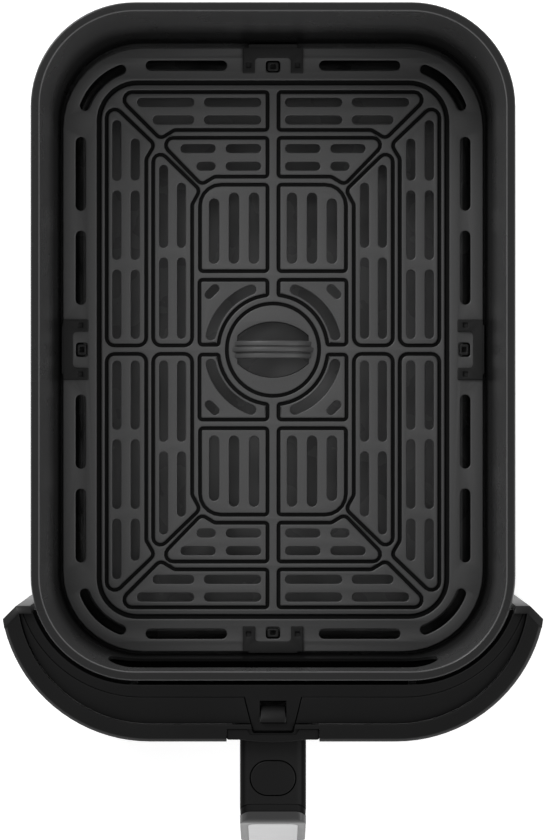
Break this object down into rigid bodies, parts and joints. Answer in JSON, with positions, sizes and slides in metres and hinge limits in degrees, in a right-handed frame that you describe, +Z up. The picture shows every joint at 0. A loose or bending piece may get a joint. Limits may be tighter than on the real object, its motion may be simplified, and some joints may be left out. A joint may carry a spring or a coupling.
{
  "type": "air fryer drawer",
  "caption": "Deep non-stick air fryer drawer with lift-out crisper plate on silicone clips, wrap-around front, hooked handle and push-button latch.",
  "frame": {"origin": "centre of the pan's flat bottom face", "axes": "+Z up out of the pan, -Y towards the handle, +X to the right when looking from above with the handle at the bottom"},
  "size_m": [0.2794, 0.443, 0.108],
  "materials": {
    "nonstick_pan": "smooth dark non-stick coating, semi-gloss",
    "nonstick_plate": "fine-textured dark grey non-stick coating, satin",
    "silicone": "black silicone, matt",
    "black_steel": "heat-proof black paint, matt",
    "zinc_steel": "zinc-plated steel",
    "front_plastic": "fine-grained black plastic",
    "shell_plastic": "black plastic, satin gloss",
    "handle_plastic": "black plastic, satin",
    "bezel_satin": "dark grey satin paint",
    "brushed_insert": "brushed stainless steel",
    "button_plastic": "black plastic, fine grain"
  },
  "bodies": {
    "drawer": {"drawer_pan": "nonstick_pan", "heat_shield": "black_steel", "shield_rivets": "zinc_steel", "pan_bracket": "black_steel", "pan_screws": "zinc_steel", "pan_carrier": "front_plastic", "carrier_screws": "zinc_steel", "front_liner": "front_plastic", "liner_screws": "zinc_steel", "front_shell": "shell_plastic", "handle_base": "handle_plastic", "base_screws": "zinc_steel", "handle_top_shell": "handle_plastic", "handle_bottom_shell": "handle_plastic", "handle_bezel": "bezel_satin", "handle_insert": "brushed_insert", "handle_screws": "zinc_steel", "grip_screws": "zinc_steel", "lever_pin": "zinc_steel", "lever_spring": "zinc_steel"},
    "crisper": {"crisper_plate": "nonstick_plate", "foot_front": "silicone", "foot_rear": "silicone", "foot_left": "silicone", "foot_right": "silicone"},
    "button": {"release_button": "button_plastic"},
    "lever": {"latch_lever": "front_plastic"}
  },
  "joints": [
    {"name": "plate_lift", "type": "slide", "parent": "drawer", "child": "crisper", "axis": [0, 0, 1], "range_m": [0, 0.12]},
    {"name": "button_press", "type": "slide", "parent": "drawer", "child": "button", "axis": [0, 0, -1], "range_m": [0, 0.002], "stiffness_N_per_m": 900, "springref_m": -0.001},
    {"name": "lever_swing", "type": "hinge", "parent": "drawer", "child": "lever", "pos_m": [0, -0.241, 0.09], "axis": [-1, 0, 0], "range_deg": [0, 7.7], "deforming": ["lever_spring"]}
  ],
  "couplings": [
    {"joint": "lever_swing", "follows": "button_press", "rad_per_m": 66.667}
  ]
}
